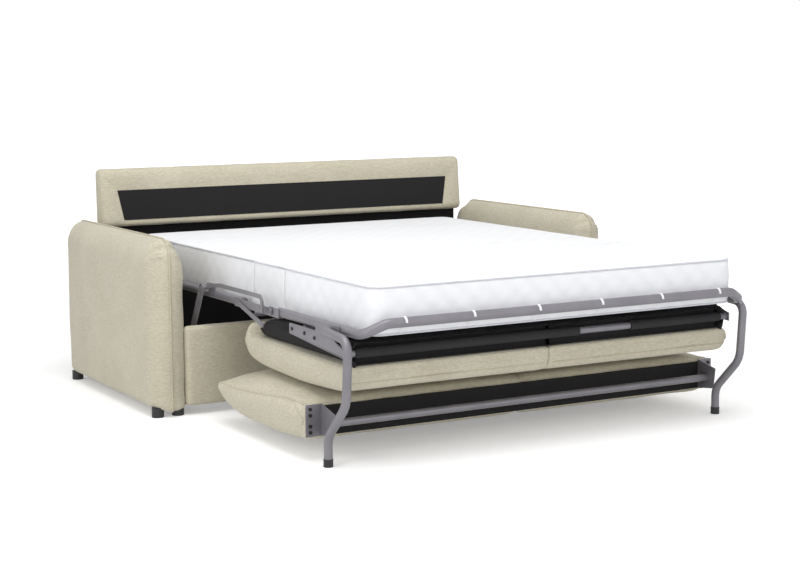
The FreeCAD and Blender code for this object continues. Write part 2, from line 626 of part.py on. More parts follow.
def back_ring(x, draw, crown):
    """Side outline of a back cushion, from the board to its tip."""
    start = size["board_end"] + size["board_thick"]
    tip, tip_z = size["cushion_tip"] - draw * 0.4, size["cushion_tip_z"]
    nose, rise, inset = size["cushion_nose"], size["nose_rise"], size["nose_set"]
    low = size["cushion_low"] + draw * 0.8 + (size["cushion_crown"] - crown) * 0.4
    high = size["cushion_high"] - draw * 0.8 + crown - size["cushion_crown"]
    end_low, end_high = size["cushion_end_low"] + draw / 2, size["cushion_end_high"] - draw / 2
    middle = (start + tip) / 2
    at = lambda y, z: Vector(x, y, z)
    return curve(at(start, end_low), (at(middle - nose, low), at(tip - nose, low + inset / 2)),
                 (at(tip - inset, (low + tip_z) / 2), at(tip, tip_z)),
                 (at(tip - inset, tip_z + rise), at(tip - nose, high - inset / 2)),
                 (at(middle, high), at(start, end_high)), (None, at(start, end_low)))


for side, sign in SIDES:
    cushion = pillow(back_ring, size["seat_split"] / 2, size["cushion_half"], sign,
                     size["cushion_draw"], size["cushion_crown"])
    node(feature(f"back_cushion_{side}", cushion), f"back_cushion_{side}")


def mattress_block(y0, y1, foot_end, head_end):
    """A mattress length with rounded outer corners and rounded long edges."""
    half, low, high = size["mattress_half"], size["mattress_bottom"], size["mattress_top"]
    block = Part.makeBox(2 * half, y1 - y0, high - low, Vector(-half, y0, low))
    corners = [edge for edge in block.Edges if edge.BoundBox.ZLength > 1
               and ((foot_end and edge.BoundBox.Center.y < y0 + 1) or (head_end and edge.BoundBox.Center.y > y1 - 1))]
    if corners:
        block = block.makeFillet(size["mattress_corner"], corners)
    outer = [edge for edge in block.Edges if edge.BoundBox.ZLength < 1
             and not (edge.BoundBox.YLength < 0.01
                      and ((not foot_end and edge.BoundBox.YMin < y0 + 1)
                           or (not head_end and edge.BoundBox.YMax > y1 - 1)))]
    return block.makeFillet(size["mattress_round"], outer)


gap = size["mattress_gap"] / 2
CUTS = (("mattress_foot", size["mattress_foot"], size["foot_pivot_y"], True, False),
        ("mattress_middle", size["foot_pivot_y"], size["mid_pivot_y"], False, False),
        ("mattress_head", size["mid_pivot_y"], size["head_rear"], False, False),
        ("mattress_head_end", size["head_rear"], size["mattress_head"], False, True))
for name, low, high, foot_end, head_end in CUTS:
    block = mattress_block(low + (0 if foot_end else gap), high - (0 if head_end else gap), foot_end, head_end)
    node(feature(name, block), name)

# The origin is below the middle of the open bed's length
SHIFT = "0 - (foot_bar_y - tube_radius - rest_gap - hook_thick + back_rear) / 2"
for thing in nodes:
    own_place = dict(thing.ExpressionEngine).get(".Placement.Base.y", "0")
    thing.setExpression("Placement.Base.y", f"{own_place} + {bound(SHIFT)}")
doc.recompute()

failed = [thing.Name for thing in doc.Objects if {"Invalid", "Error"} & set(thing.State)]
failed += [thing.Label for thing in nodes if thing.Shape.isNull() or not thing.Shape.isValid()]
if failed:
    raise RuntimeError("not built: " + ", ".join(failed))
os.makedirs("parts", exist_ok=True)
for thing in nodes:
    thing.Shape.exportStep(f"parts/{thing.Label}.step")
    bounds = thing.Shape.BoundBox
    print(f"{thing.Label}: {len(thing.Shape.Solids)} solids, X {bounds.XMin:.0f} {bounds.XMax:.0f} "
          f"Y {bounds.YMin:.0f} {bounds.YMax:.0f} Z {bounds.ZMin:.0f} {bounds.ZMax:.0f}")
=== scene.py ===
import json
from math import cos, pi, radians, sin, sqrt

import bpy
import numpy as np
from mathutils import Matrix, Vector


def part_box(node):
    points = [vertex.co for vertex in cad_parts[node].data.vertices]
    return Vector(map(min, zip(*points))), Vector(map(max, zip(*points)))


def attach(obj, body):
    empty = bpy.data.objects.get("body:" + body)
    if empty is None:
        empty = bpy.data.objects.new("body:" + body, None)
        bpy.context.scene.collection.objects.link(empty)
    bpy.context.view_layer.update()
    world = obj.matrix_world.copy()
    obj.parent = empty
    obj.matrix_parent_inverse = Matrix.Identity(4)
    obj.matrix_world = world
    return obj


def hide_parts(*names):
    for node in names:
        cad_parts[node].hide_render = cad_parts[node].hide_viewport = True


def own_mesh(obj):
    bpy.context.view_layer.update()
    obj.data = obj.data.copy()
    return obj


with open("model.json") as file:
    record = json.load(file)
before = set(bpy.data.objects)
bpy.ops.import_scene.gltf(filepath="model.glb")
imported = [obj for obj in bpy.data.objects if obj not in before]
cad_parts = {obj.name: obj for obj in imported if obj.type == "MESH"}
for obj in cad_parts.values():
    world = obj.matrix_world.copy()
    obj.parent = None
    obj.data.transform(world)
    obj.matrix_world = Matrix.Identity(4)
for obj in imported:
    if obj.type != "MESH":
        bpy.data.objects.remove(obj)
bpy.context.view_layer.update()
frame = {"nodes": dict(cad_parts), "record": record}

nodes = frame["nodes"]
MM = 0.001
TINY = 1e-9              # keeps a division away from zero
NEAR = 1e-6              # a distance below this counts as none
SIDES = (("left", -1), ("right", 1))

# Outlines below are written with Y = 0 at the arms' fronts; FRONT moves them into the frame
ARMS_LOW, ARMS_HIGH = (np.array(corner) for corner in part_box("arms"))
FRONT = float(ARMS_LOW[1])


# Mesh helpers
WELD_DIGITS = 6          # points that agree to so many decimals are one
RIPPLE_WAVES = 7
RIPPLE_SPREAD = (0.6, 1.6)      # wave lengths, as shares of the size that is asked for
ROUNDEST = 0.999         # the largest radius of a soft box, as a share of half its side
STEEP = 0.9              # a tube that starts steeper than this takes X for its first normal
EDGE_STEPS = 46          # grid lines in each finer border


def new_object(name, points, faces, smooth=True):
    """A mesh object at the origin, with its place in its points."""
    if isinstance(faces, np.ndarray):
        faces = faces.tolist()
    mesh = bpy.data.meshes.new(name)
    mesh.from_pydata(np.asarray(points).tolist(), [], faces)
    mesh.update()
    thing = bpy.data.objects.new(name, mesh)
    bpy.context.collection.objects.link(thing)
    if smooth:
        mesh.polygons.foreach_set("use_smooth", [True] * len(mesh.polygons))
    return thing


def points_at(x, y, z):
    """Points from their coordinates, each an array or one number."""
    return np.stack(np.broadcast_arrays(x, y, z), -1)


def grid_faces(rows, columns, ring=False):
    """Quads between neighbours of a rows by columns grid, whose rows may be closed rings."""
    i, j = np.meshgrid(np.arange(rows - 1), np.arange(columns if ring else columns - 1),
                       indexing="ij")
    here, beside = i * columns + j, i * columns + (j + 1) % columns
    return np.stack((here, here + columns, beside + columns, beside), -1).reshape(-1, 4)


def merged(grids, flips):
    """Points and quads of grids of points whose shared borders are joined."""
    points, faces, start = [], [], 0
    for grid, flip in zip(grids, flips):
        quads = grid_faces(*grid.shape[:2]) + start
        faces.append(quads[:, ::-1] if flip else quads)
        points.append(grid.reshape(-1, 3))
        start += grid.shape[0] * grid.shape[1]
    points, faces = np.concatenate(points), np.concatenate(faces)
    kept, place = np.unique(np.round(points, WELD_DIGITS), axis=0, return_inverse=True)
    return kept, place.reshape(-1)[faces]


def cube_skin(counts):
    """Points on a cube from -1 to 1 and its quads, with a count of steps along each axis."""
    grids, flips = [], []
    for axis in range(3):
        first, second = [other for other in range(3) if other != axis]
        a, b = np.meshgrid(np.linspace(-1, 1, counts[first] + 1),
                           np.linspace(-1, 1, counts[second] + 1), indexing="ij")
        for side in (-1, 1):
            grid = np.empty(a.shape + (3,))
            grid[..., axis], grid[..., first], grid[..., second] = side, a, b
            grids.append(grid)
            flips.append((side > 0) == (axis == 1))
    return merged(grids, flips)


def soft_box(low, high, radius, spacing=0.012):
    """Points and quads of a rounded box: each point of a cube's skin is clamped to the inner
    box, and pushed outwards from it by the radius, which may differ along X, Y and Z."""
    low, high = np.array(low, float), np.array(high, float)
    half, middle = (high - low) / 2, (high + low) / 2
    skin, faces = cube_skin(np.maximum(4, np.ceil(2 * half / spacing)).astype(int))
    place = skin * half
    radius = np.minimum(np.broadcast_to(np.array(radius, float), (3,)), half * ROUNDEST)
    inner = np.clip(place, -(half - radius), half - radius)
    away = (place - inner) / radius
    length = np.maximum(np.linalg.norm(away, axis=1), TINY)
    away *= (np.max(np.abs(away), axis=1) / length)[:, None]
    return inner + away * radius + middle, faces


def ripple(points, size, height, seed):
    """Soft unevenness: a sum of sine waves in seeded directions, each about one size long."""
    random = np.random.default_rng(seed)
    total = np.zeros(len(points))
    for _ in range(RIPPLE_WAVES):
        way = random.normal(size=3)
        way /= np.linalg.norm(way)
        wave_length = size * random.uniform(*RIPPLE_SPREAD)
        total += np.sin(points @ way * (2 * pi / wave_length) + random.uniform(0, 2 * pi))
    return total * height / RIPPLE_WAVES


def tube_along(name, line, radius, sides=10):
    """A round tube: a circle of the radius carried along the line on frames with least twist."""
    line = np.asarray(line, float)
    tangent = np.vstack([line[1:], line[-1:]]) - np.vstack([line[:1], line[:-1]])
    tangent /= np.linalg.norm(tangent, axis=1)[:, None]
    up = np.array([0.0, 0.0, 1.0] if abs(tangent[0, 2]) < STEEP else [1.0, 0.0, 0.0])
    normals = []
    for way in tangent:
        up = up - way * (up @ way)
        up /= np.linalg.norm(up)
        normals.append(up)
    normals = np.array(normals)
    across = np.cross(tangent, normals)
    turn = np.linspace(0, 2 * pi, sides, endpoint=False)[None, :, None]
    ring = normals[:, None] * np.cos(turn) + across[:, None] * np.sin(turn)
    points = (line[:, None] + ring * radius).reshape(-1, 3)
    faces = grid_faces(len(line), sides, ring=True)[:, ::-1].tolist()
    faces.append(list(range(sides)))
    faces.append(list(range(len(points) - 1, len(points) - sides - 1, -1)))
    return new_object(name, points, faces)


def closed_curve(points, count):
    """A closed Catmull-Rom curve through the points, at a count of even steps between them. The
    points have Y = 0 at the arms' fronts, and the curve is moved into the frame."""
    points = np.array(points)
    spans = len(points)
    points = np.vstack([points[-1], points, points[0], points[1]])
    place = np.linspace(0, spans, count, endpoint=False)
    span = np.minimum(place.astype(int), spans - 1)
    t = (place - span)[:, None]
    a, b, c, d = (points[span + step] for step in range(4))
    curve = 0.5 * (2 * b + (c - a) * t + (2 * a - 5 * b + 4 * c - d) * t ** 2
                   + (3 * b - a - 3 * c + d) * t ** 3)
    return curve + np.array([FRONT, 0])


def quarter(distance, reach):
    """Height of a quarter ellipse: 0 at the edge, 1 from the reach inwards."""
    return np.sqrt(np.clip(1 - (1 - np.clip(distance / reach, 0, 1)) ** 2, 0, 1))


def graded(low, high, reach, step):
    """Places from low to high: even in the middle, and within the reach of either end they
    crowd towards it by a cosine."""
    edge = reach * (1 - np.cos(np.linspace(0, pi / 2, EDGE_STEPS)))
    count = max(2, int((high - low - 2 * reach) / step))
    middle = np.linspace(low + reach, high - reach, count)
    return np.unique(np.concatenate([low + edge, middle, high - edge]))


def rounded_corners(u, v, low, high, radii):
    """Maps a rectangle's points into one with round corners: a point in a corner's square moves
    to the disc of the same radius. Radii are for the low-low, high-low, low-high and high-high
    corners."""
    u, v = u.copy(), v.copy()
    for index, radius in enumerate(radii):
        way = np.array([1 if index % 2 else -1, 1 if index > 1 else -1])
        centre = [(high[k] if way[k] > 0 else low[k]) - way[k] * radius for k in (0, 1)]
        a, b = (u - centre[0]) * way[0] / radius, (v - centre[1]) * way[1] / radius
        inside = (a > 0) & (b > 0)
        scale = np.where(inside, np.maximum(a, b) / np.maximum(np.hypot(a, b), TINY), 1)
        u = np.where(inside, centre[0] + way[0] * a * scale * radius, u)
        v = np.where(inside, centre[1] + way[1] * b * scale * radius, v)
    return u, v


# Materials
THREAD = 2.6 * MM        # flat-weave yarns are about 0.8 mm, drawn coarser so that they show
YARN_STRETCH = (0.35, 0.35, 1.5)      # slubs run level round the upright faces
YARN_RELIEF = 0.4 * MM
CLOTH_CLOUDS = 7.0       # per metre: slow changes of colour, each about 140 mm across
CLOUD_SHARE = 0.3        # how much they add to the yarns' own colour
CLOTH_LOW, CLOTH_HIGH = 0.45, 0.85    # values that take the cloth's dark and light colours
STEEL_CLOUDS = 14.0      # per metre, each about 70 mm across
PEEL = 1.5 * MM          # size of the coating's orange peel
SPARK_GRAIN = 1.0 * MM   # really about 0.2 mm, drawn coarser so that it shows
FINE_RELIEF = 0.1 * MM   # of coated steel and moulded plastic
QUILT = 60 * MM          # spacing of the quilting stitches
QUILT_DIAGONAL = 1.41    # from a spacing across lines at 45 degrees to one along an axis
QUILT_RELIEF, QUILT_FULLNESS = 3 * MM, 0.45     # the lower the fullness, the flatter the tops
KNIT, KNIT_SHARE = 2 * MM, 0.06       # stitches of about 1 mm, drawn coarser so that they show
BEECH_GRAIN = (60, 4, 60)     # per metre: grain about 17 mm wide, and 250 mm long along Y


def linear(hex_colour):
    """An sRGB hex colour as linear RGBA."""
    parts = [int(hex_colour[start:start + 2], 16) / 255 for start in (1, 3, 5)]
    return [part / 12.92 if part <= 0.04045 else ((part + 0.055) / 1.055) ** 2.4
            for part in parts] + [1.0]


def add(tree, kind, inputs=(), **settings):
    """Adds a node with its settings, and links each named or numbered input to another node's
    output, or gives it a plain value."""
    made = tree.nodes.new(kind)
    for key, value in settings.items():
        setattr(made, key, value)
    for key, value in dict(inputs).items():
        if isinstance(value, bpy.types.NodeSocket):
            tree.links.new(value, made.inputs[key])
        else:
            made.inputs[key].default_value = value
    return made


def start_material(name, shader_values):
    """A material with a Principled shader at its output; with its tree, the shader and the
    object coordinates."""
    material = bpy.data.materials.new(name)
    material.use_nodes = True
    tree = material.node_tree
    tree.nodes.clear()
    shader = add(tree, "ShaderNodeBsdfPrincipled", shader_values)
    add(tree, "ShaderNodeOutputMaterial", {0: shader.outputs[0]})
    place = add(tree, "ShaderNodeTexCoord").outputs["Object"]
    return material, tree, shader, place


def finish_surface(tree, shader, amount, colours, height=None, strength=0.0, distance=0.0):
    """Colours a surface from the first colour to the second as the amount goes from 0 to 1, and
    raises it by the height times the distance, as strongly as is asked."""
    ramp = add(tree, "ShaderNodeValToRGB", {"Fac": amount})
    for element, colour in zip(ramp.color_ramp.elements, colours):
        element.color = linear(colour)
    tree.links.new(ramp.outputs["Color"], shader.inputs["Base Color"])
    if height is not None:
        relief = add(tree, "ShaderNodeBump", {"Height": height, "Strength": strength,
                                              "Distance": distance})
        tree.links.new(relief.outputs[0], shader.inputs["Normal"])


def woven_cloth(name, low, high, thread=THREAD, bump=0.25, sheen=0.25):
    """Flat-woven polyester upholstery cloth: matt, fine crossed yarns with slubs, a faint sheen
    on the fold."""
    values = {"Base Color": linear(high), "Roughness": 0.92, "Sheen Weight": sheen,
              "Sheen Roughness": 0.5}
    material, tree, shader, place = start_material(name, values)
    cloud = add(tree, "ShaderNodeTexNoise", {"Vector": place, "Scale": CLOTH_CLOUDS,
                                             "Detail": 4.0}).outputs["Fac"]
    stretch = add(tree, "ShaderNodeMapping", {"Vector": place, "Scale": YARN_STRETCH}).outputs[0]
    yarn = add(tree, "ShaderNodeTexNoise", {"Vector": stretch, "Scale": 1 / (2 * thread),
                                            "Detail": 3.0, "Roughness": 0.7}).outputs["Fac"]
    faint = add(tree, "ShaderNodeMath", {0: cloud, 1: CLOUD_SHARE}, operation="MULTIPLY")
    blend = add(tree, "ShaderNodeMath", {0: faint.outputs[0], 1: yarn}, operation="ADD")
    spread = add(tree, "ShaderNodeMapRange", {"Value": blend.outputs[0], "From Min": CLOTH_LOW,
                                              "From Max": CLOTH_HIGH})
    cells = add(tree, "ShaderNodeTexVoronoi", {"Vector": place, "Scale": 1 / thread})
    height = add(tree, "ShaderNodeMath", {0: cells.outputs["Distance"], 1: yarn},
                 operation="ADD")
    finish_surface(tree, shader, spread.outputs[0], (low, high), height.outputs[0], bump,
                   YARN_RELIEF)
    return material


def coated_steel(name, colour, dark, roughness=0.42):
    """Powder-coated steel tube: slight orange peel, satin, clouded with a second tone."""
    values = {"Base Color": linear(colour), "Roughness": roughness, "Metallic": 0.35}
    material, tree, shader, place = start_material(name, values)
    cloud = add(tree, "ShaderNodeTexNoise", {"Vector": place, "Scale": STEEL_CLOUDS,
                                             "Detail": 5.0})
    peel = add(tree, "ShaderNodeTexNoise", {"Vector": place, "Scale": 1 / PEEL, "Detail": 1.0})
    finish_surface(tree, shader, cloud.outputs["Fac"], (dark, colour), peel.outputs["Fac"], 0.08,
                   FINE_RELIEF)
    return material


def moulded_plastic(name, colour, lighter, roughness=0.45):
    """Moulded polypropylene: fine spark-eroded grain, soft highlights."""
    values = {"Base Color": linear(colour), "Roughness": roughness}
    material, tree, shader, place = start_material(name, values)
    grain = add(tree, "ShaderNodeTexNoise", {"Vector": place, "Scale": 1 / SPARK_GRAIN,
                                             "Detail": 2.0}).outputs["Fac"]
    finish_surface(tree, shader, grain, (colour, lighter), grain, 0.15, FINE_RELIEF)
    return material


def quilted_ticking(name):
    """Knitted mattress ticking quilted to thin wadding: white, soft diamonds with stitched lines
    between them, the colour a little darker towards the lines as painted shade in the creases. Each
    set of lines is where a slanting sine wave passes through 0."""
    values = {"Base Color": linear("#f1f2f6"), "Roughness": 0.85, "Sheen Weight": 0.2}
    material, tree, shader, place = start_material(name, values)
    split = add(tree, "ShaderNodeSeparateXYZ", {"Vector": place}).outputs
    steps = (("MULTIPLY", pi / (QUILT * QUILT_DIAGONAL)), ("SINE", 0), ("ABSOLUTE", 0),
             ("POWER", QUILT_FULLNESS))
    rows = []
    for way in ("ADD", "SUBTRACT"):
        slant = add(tree, "ShaderNodeMath", {0: split["X"], 1: split["Y"]}, operation=way)
        hills = add(tree, "ShaderNodeMath", {0: slant.outputs[0], 1: split["Z"]},
                    operation="ADD")
        for operation, value in steps:
            hills = add(tree, "ShaderNodeMath", {0: hills.outputs[0], 1: value},
                        operation=operation)
        rows.append(hills.outputs[0])
    diamond = add(tree, "ShaderNodeMath", {0: rows[0], 1: rows[1]}, operation="MULTIPLY")
    knit = add(tree, "ShaderNodeTexNoise", {"Vector": place, "Scale": 1 / KNIT, "Detail": 2.0})
    soft = add(tree, "ShaderNodeMath", {0: knit.outputs["Fac"], 1: KNIT_SHARE},
               operation="MULTIPLY")
    height = add(tree, "ShaderNodeMath", {0: diamond.outputs[0], 1: soft.outputs[0]},
                 operation="ADD")
    # Painted shade: the colour dims slightly from the diamonds' tops down to the stitch lines, in
    # the creases.
    finish_surface(tree, shader, diamond.outputs[0], ("#f0f1f4", "#f5f6f9"), height.outputs[0],
                   0.07, QUILT_RELIEF)
    return material


def planed_beech(name):
    """Planed beech rail: pale, straight grain along Y with fine flecks."""
    values = {"Base Color": linear("#c8a67a"), "Roughness": 0.6}
    material, tree, shader, place = start_material(name, values)
    stretch = add(tree, "ShaderNodeMapping", {"Vector": place, "Scale": BEECH_GRAIN}).outputs[0]
    grain = add(tree, "ShaderNodeTexNoise", {"Vector": stretch, "Scale": 1.0, "Detail": 6.0})
    finish_surface(tree, shader, grain.outputs["Fac"], ("#a98458", "#d3b48a"))
    return material


BEIGE = woven_cloth("beige woven upholstery cloth", "#b7b09a", "#d0cab6", bump=0.55)
PIPING = woven_cloth("beige piping cord cloth", "#b0a890", "#c9c2ac")
BLACK_LINING = woven_cloth("black non-woven lining", "#080708", "#121013", thread=1.6 * MM,
                           bump=0.12, sheen=0.02)
STEEL = coated_steel("grey powder-coated steel", "#89878c", "#716f75")
DARK_STEEL = coated_steel("black zinc-plated steel", "#2b2b2e", "#1c1c1f", 0.38)
BLACK_PLASTIC = moulded_plastic("black moulded polypropylene", "#17171a", "#242428")
WHITE_PLASTIC = moulded_plastic("white moulded nylon", "#e9eaee", "#f4f4f6")
FOAM = moulded_plastic("black foam sleeve", "#141416", "#1d1d20", 0.8)
TICKING = quilted_ticking("white quilted mattress ticking")
PIPED_WHITE = woven_cloth("white mattress piping tape", "#c6c8cf", "#d9dbe0", thread=2 * MM)
BEECH = planed_beech("planed beech")
SLOT_MATERIALS = {"upholstery": BEIGE, "lining": BLACK_LINING, "wood_rail": BEECH,
                  "hook_plastic": WHITE_PLASTIC, "mattress": TICKING,
                  "foot_plastic": BLACK_PLASTIC, "sleeve_foam": FOAM, "bolt_steel": DARK_STEEL,
                  "frame_steel": STEEL}
for part in frame["record"]["subparts"]:
    slots = nodes[part["node"]].data.materials
    slots.clear()
    slots.append(SLOT_MATERIALS[part["material_slot"]])


def dress(piece, body, material, replaced=()):
    """Gives a piece its finish and body, and hides the nodes that it stands for."""
    piece.data.materials.append(material)
    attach(piece, body)
    if replaced:
        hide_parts(*replaced)
    return piece


# Camera at the photograph's angle, solved from the mattress and the sofa's straight edges
CAMERA_PLACE = Vector((-3.080, -5.452 + FRONT, 1.230))
CAMERA_YAW, CAMERA_PITCH, CAMERA_ROLL = radians(29.616), radians(7.693), -0.0066
FOCAL_PIXELS, PHOTO_WIDTH, SENSOR = 1673.9, 800, 36.0

# Studio: glow strengths of the floor under the sofa and from far out, and where they are reached.
# The weaker glow under the sofa is painted shadow that darkens the floor round it.
FLOOR_HALF = 30
FLOOR_GLOW, GLOW_REACH, WORLD_STRENGTH = (0.30, 0.75), (1.6, 4.0), 0.55


def make_camera():
    """The camera at the solved place, turned by its yaw, pitch and roll."""
    forward = Vector((sin(CAMERA_YAW) * cos(CAMERA_PITCH), cos(CAMERA_YAW) * cos(CAMERA_PITCH),
                      -sin(CAMERA_PITCH)))
    level = Vector((cos(CAMERA_YAW), -sin(CAMERA_YAW), 0))
    upright = level.cross(forward)
    right = level * cos(CAMERA_ROLL) + upright * sin(CAMERA_ROLL)
    up = upright * cos(CAMERA_ROLL) - level * sin(CAMERA_ROLL)
    data = bpy.data.cameras.new("photo camera")
    data.sensor_width = SENSOR
    data.lens = FOCAL_PIXELS / PHOTO_WIDTH * SENSOR
    data.clip_end = 100
    thing = bpy.data.objects.new("photo camera", data)
    bpy.context.collection.objects.link(thing)
    turn = Matrix((right, up, -forward)).transposed()
    thing.matrix_world = Matrix.Translation(CAMERA_PLACE) @ turn.to_4x4()
    bpy.context.scene.camera = thing


def make_lamp(name, place, target, size, power):
    """A round soft box that points at its target."""
    data = bpy.data.lights.new(name, "AREA")
    data.shape = "DISK"
    data.size = size
    data.energy = power
    thing = bpy.data.objects.new(name, data)
    thing.location = place
    aim = Vector(target) - Vector(place)
    thing.rotation_euler = aim.to_track_quat("-Z", "Y").to_euler()
    bpy.context.collection.objects.link(thing)


def by_ray(tree, lighting, seen):
    """One shader for the rays that light the sofa, and one for what is seen, mirrored or not."""
    rays = add(tree, "ShaderNodeLightPath").outputs
    direct = add(tree, "ShaderNodeMath", {0: rays["Is Camera Ray"], 1: rays["Is Glossy Ray"]},
                 operation="MAXIMUM")
    return add(tree, "ShaderNodeMixShader", {"Fac": direct.outputs[0], 1: lighting.outputs[0],
                                             2: seen.outputs[0]}).outputs[0]


def make_stage():
    """A pale floor that keeps the shadow, its glow dimmed towards the sofa as painted shadow, and a
    white world behind it.
    """
    corners = [(x * FLOOR_HALF, y * FLOOR_HALF, 0) for x, y in ((-1, -1), (1, -1), (1, 1), (-1, 1))]
    floor = new_object("floor", corners, [(0, 1, 2, 3)], smooth=False)
    material = bpy.data.materials.new("pale studio floor")
    material.use_nodes = True
    tree = material.node_tree
    tree.nodes.clear()
    place = add(tree, "ShaderNodeTexCoord").outputs["Object"]
    reach = add(tree, "ShaderNodeVectorMath", {0: place}, operation="LENGTH").outputs["Value"]
    # Painted shadow: the floor's glow grows with distance from the middle, so the floor near the
    # sofa is drawn darker.
    rise = add(tree, "ShaderNodeMapRange", {"Value": reach,
                                            "From Min": GLOW_REACH[0], "From Max": GLOW_REACH[1],
                                            "To Min": FLOOR_GLOW[0], "To Max": FLOOR_GLOW[1]})
    white = linear("#ffffff")
    paint = add(tree, "ShaderNodeBsdfDiffuse", {"Color": linear("#f4f4f4")})
    glow = add(tree, "ShaderNodeEmission", {"Color": white, "Strength": rise.outputs[0]})
    both = add(tree, "ShaderNodeAddShader", {0: paint.outputs[0], 1: glow.outputs[0]})
    add(tree, "ShaderNodeOutputMaterial", {0: by_ray(tree, paint, both)})
    floor.data.materials.append(material)
    world = bpy.data.worlds.new("soft white studio")
    bpy.context.scene.world = world
    world.use_nodes = True
    tree = world.node_tree
    tree.nodes.clear()
    dim = add(tree, "ShaderNodeBackground", {"Color": white, "Strength": WORLD_STRENGTH})
    bright = add(tree, "ShaderNodeBackground", {"Color": white, "Strength": 1.0})
    add(tree, "ShaderNodeOutputWorld", {0: by_ray(tree, dim, bright)})


make_camera()
make_stage()
make_lamp("large top light", (-1.0, -1.5, 4.2), target=(0, -0.2, 0.3), size=3.5, power=110)
make_lamp("left fill", (-4.5, -2.5, 2.2), target=(0, 0, 0.4), size=2.5, power=45)
make_lamp("front fill", (1.5, -5.5, 2.0), target=(0, -0.5, 0.3), size=2.5, power=30)


# Upholstered arms: an outer and an inner domed panel joined at a piped seam
PIPE = 4.0 * MM          # radius of the seam's cord
PIPE_STAND = 0.005       # share by which the cord stands out from the seam
PIPE_START = 0.002       # how far above the hem the cord starts
SEAM_X = 0.9085
ARM_CORNER, ARM_FOOT_CORNER = 0.066, 0.014
ARM_HEM = 0.014          # the covers hang this far below the frame
ARM_EDGE, ARM_SPACING = 0.12, 0.014   # width of the finer border of the skin, and steps inside it
OUTER_DOME, INNER_DOME = 0.070, 0.0635
OUTER_CROWN = 0.010      # the outer panel's further swelling in its middle
OUTER_REACH = (0.078, 0.078, 0.040, 0.088)      # from the front, rear, bottom and top edges
INNER_REACH = (0.045, 0.012, 0.012, 0.140)
GATHER_HEIGHT, GATHER_REACH = 1.5 * MM, 0.055
GATHER_COUNT = 34        # folds in a full turn of the fan
GATHER_SHIFT, GATHER_SHIFT_COUNT = 2, 7         # uneven spacing of the folds
GATHER_HOLD = 0.006      # the folds grow over this distance from the seam
FAN_FROM, FAN_TO, FAN_FADE = -0.25, pi / 2 + 0.35, 0.3     # radians round the corner's centre
FAN_BEHIND, FAN_BELOW = 0.10, 0.12
ARM_WAVE, ARM_WAVE_SIZE = 3.4 * MM, 0.20


def arm_panel(sign, depth, reaches, outward, seed):
    """A dome over a rounded rectangle: its depth is the product of four quarter ellipses, one
    from each edge, with gathers that radiate at the front top corner and soft waves."""
    low, high = (ARMS_LOW[1], ARMS_LOW[2] - ARM_HEM), (ARMS_HIGH[1], ARMS_HIGH[2])
    y, z = np.meshgrid(*(graded(low[k], high[k], ARM_EDGE, ARM_SPACING) for k in (0, 1)),
                       indexing="ij")
    distances = (y - low[0], high[0] - y, z - low[1], high[1] - z)
    lift = np.ones_like(y)
    for distance, reach in zip(distances, reaches):
        lift = lift * quarter(distance, reach)
    hill = (np.sin(pi * np.clip((z - low[1]) / (high[1] - low[1]), 0, 1))
            * np.sin(pi * np.clip((y - low[0]) / (high[0] - low[0]), 0, 1)))
    radii = (ARM_FOOT_CORNER, ARM_FOOT_CORNER, ARM_CORNER, ARM_CORNER)
    y2, z2 = rounded_corners(y, z, low, high, radii)
    away_y, away_z = low[0] + ARM_CORNER - y2, z2 - (high[1] - ARM_CORNER)
    angle = np.arctan2(away_z, away_y)
    edge = np.minimum.reduce(distances)
    near = np.exp(-((edge / GATHER_REACH) ** 2)) * np.clip(edge / GATHER_HOLD, 0, 1)
    fan = (np.clip((angle - FAN_FROM) / FAN_FADE, 0, 1)
           * np.clip((FAN_TO - angle) / FAN_FADE, 0, 1))
    fan = fan * (away_y > -FAN_BEHIND) * (away_z > -FAN_BELOW)
    phase = GATHER_COUNT * angle + GATHER_SHIFT * np.sin(GATHER_SHIFT_COUNT * angle)
    gathers = GATHER_HEIGHT * near * fan * np.sin(phase)
    y2 = y2 - gathers * np.cos(angle)
    z2 = z2 + gathers * np.sin(angle)
    flat = points_at(0, y2, z2).reshape(-1, 3)
    waves = ripple(flat, ARM_WAVE_SIZE, ARM_WAVE, seed).reshape(y.shape) * lift
    crown = OUTER_CROWN * hill * (outward > 0)
    x = SEAM_X + outward * (depth * lift + crown + gathers + waves)
    return points_at(sign * x, y2, z2)


for index, (side, sign) in enumerate(SIDES):
    outer = arm_panel(sign, OUTER_DOME, OUTER_REACH, outward=1, seed=11 + index)
    inner = arm_panel(sign, INNER_DOME, INNER_REACH, outward=-1, seed=21 + index)
    cover = new_object(f"arm_cover_{side}", *merged((outer, inner), (sign < 0, sign > 0)))
    dress(cover, "carcass", BEIGE, ("arms",) if index == 0 else ())
    seam = np.concatenate([outer[0, :, :], outer[1:-1, -1, :], outer[-1, ::-1, :]])
    seam = seam[seam[:, 2] > ARMS_LOW[2] - ARM_HEM + PIPE_START]
    seam = seam + (seam - (ARMS_LOW + ARMS_HIGH) / 2) * np.array([0, PIPE_STAND, PIPE_STAND])
    dress(tube_along(f"arm_piping_{side}", seam, PIPE), "carcass", PIPING)


# Outer back: a soft frame round the recessed black inset, with mitre seams to its corners
BACK_LOW, BACK_HIGH = (np.array(corner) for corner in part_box("outer_back"))
INSET_LOW, INSET_HIGH = (np.array(corner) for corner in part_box("back_lining"))
INSET_LOW_HALF, INSET_HIGH_HALF = 0.741, 0.763  # the inset is wider at its top
LEAN = 0.022 / 0.210     # the face leans back by 22 mm over 210 mm
LEAN_FROM = 0.620
BACK_SWELL, BACK_SWELL_REACH = 0.009, 0.05
BACK_ROUND = (0.016, 0.024, 0.022)
MITRE_END_X, MITRE_END_Z = 0.010, 0.014         # how far the seams stop from the outer corners
MITRE_ROLL, MITRE_ROLL_FROM = 0.010, 0.75       # and how they follow the rounded edge there
MITRE_STEPS = 24


